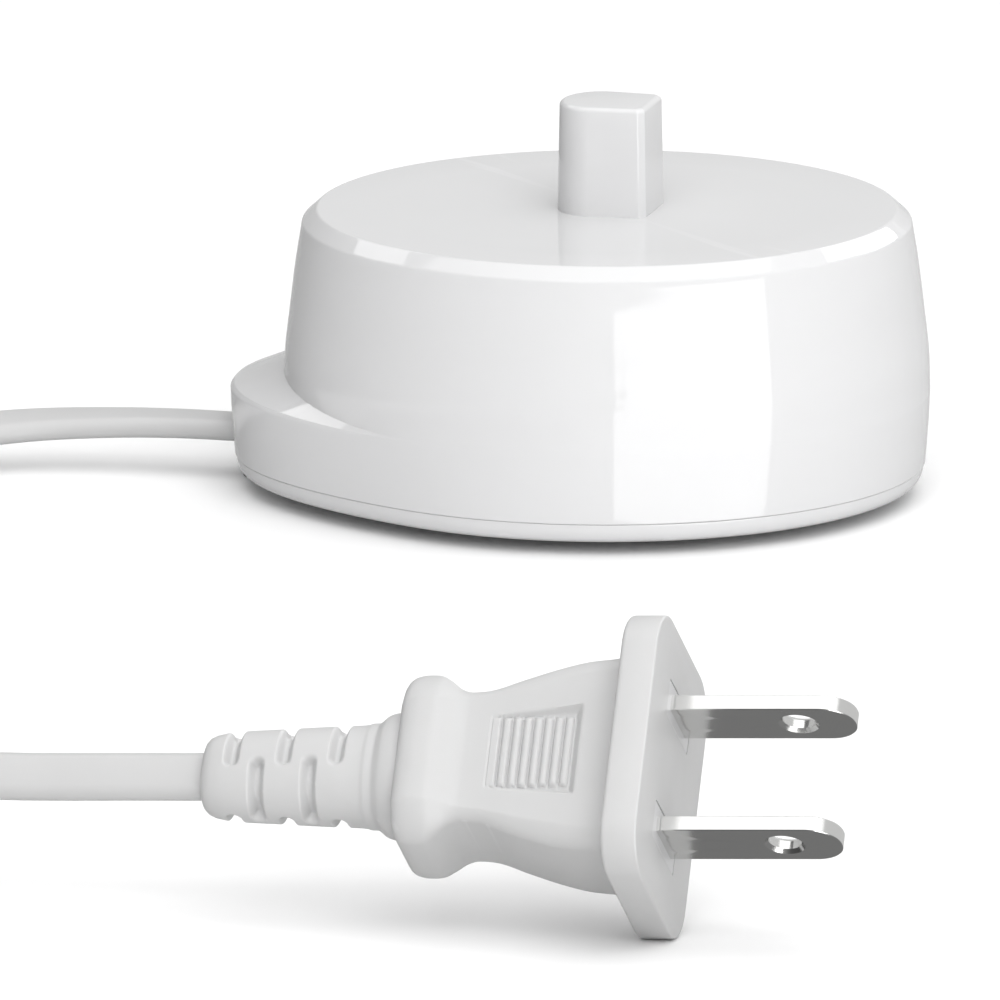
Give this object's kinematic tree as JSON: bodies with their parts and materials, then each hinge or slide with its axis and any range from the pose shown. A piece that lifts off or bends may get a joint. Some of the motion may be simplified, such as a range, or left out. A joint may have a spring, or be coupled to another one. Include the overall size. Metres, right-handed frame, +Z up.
{
  "type": "toothbrush charging base",
  "caption": "Round inductive charging base with an upright peg, a ledge at the cord side, a flat two-core cord and a moulded two-blade plug.",
  "frame": {"origin": "on the surface the base stands on, below the middle of the box round the base without its cord and plug", "axes": "+Z up along the peg; +X away from the ledge, so the cord leaves towards -X; +Y completes the right-handed frame"},
  "size_m": [0.164, 0.2424, 0.0397],
  "materials": {
    "housing_gloss": "high-gloss white moulded ABS",
    "plug_vinyl": "white moulded vinyl with a fine spark-eroded texture",
    "carrier_plastic": "white hard insert moulding",
    "cord_vinyl": "smooth satin white vinyl",
    "foot_rubber": "dark grey rubber",
    "blade_nickel": "nickel-plated brass, polished",
    "ferrite": "sintered ferrite, dull",
    "black_resin": "black moulding resin",
    "copper_wire": "enamelled copper wire",
    "board_laminate": "green solder mask on glass laminate",
    "capacitor_sleeve": "dark blue shrink sleeve",
    "film_capacitor": "yellow film capacitor case",
    "varistor_coating": "blue epoxy coating",
    "resistor_body": "grey flameproof coating",
    "diode_glass": "amber glass body",
    "core_brown": "brown core insulation",
    "core_blue": "blue core insulation",
    "tie_black": "black hook-and-loop strap"
  },
  "bodies": {
    "root": {"top_housing": "housing_gloss", "base_plate": "housing_gloss", "rubber_foot_tail": "foot_rubber", "rubber_foot_1": "foot_rubber", "rubber_foot_2": "foot_rubber", "rubber_foot_3": "foot_rubber", "rubber_foot_4": "foot_rubber", "ferrite_core": "ferrite", "coil_bobbin": "black_resin", "primary_winding": "copper_wire", "circuit_board": "board_laminate", "bulk_capacitor": "capacitor_sleeve", "filter_capacitor": "capacitor_sleeve", "resonance_capacitor": "film_capacitor", "switching_transistor": "black_resin", "filter_choke": "ferrite", "varistor": "varistor_coating", "fuse_resistor": "resistor_body", "bridge_rectifier": "black_resin", "snubber_resistor": "resistor_body", "gate_resistor": "resistor_body", "zener_diode": "diode_glass", "coil_lead_start": "copper_wire", "coil_lead_end": "copper_wire", "cord_inner_end": "cord_vinyl", "cord_clamp": "black_resin", "line_wire": "core_brown", "neutral_wire": "core_blue", "plug_body": "plug_vinyl", "plug_strain_relief": "plug_vinyl", "blade_carrier": "carrier_plastic", "line_blade": "blade_nickel", "neutral_blade": "blade_nickel", "plug_cord_end": "cord_vinyl", "plug_line_wire": "core_brown", "plug_neutral_wire": "core_blue", "cord_lead": "cord_vinyl", "cord_coil": "cord_vinyl", "cord_tail": "cord_vinyl", "cord_tie": "tie_black"}
  },
  "joints": []
}
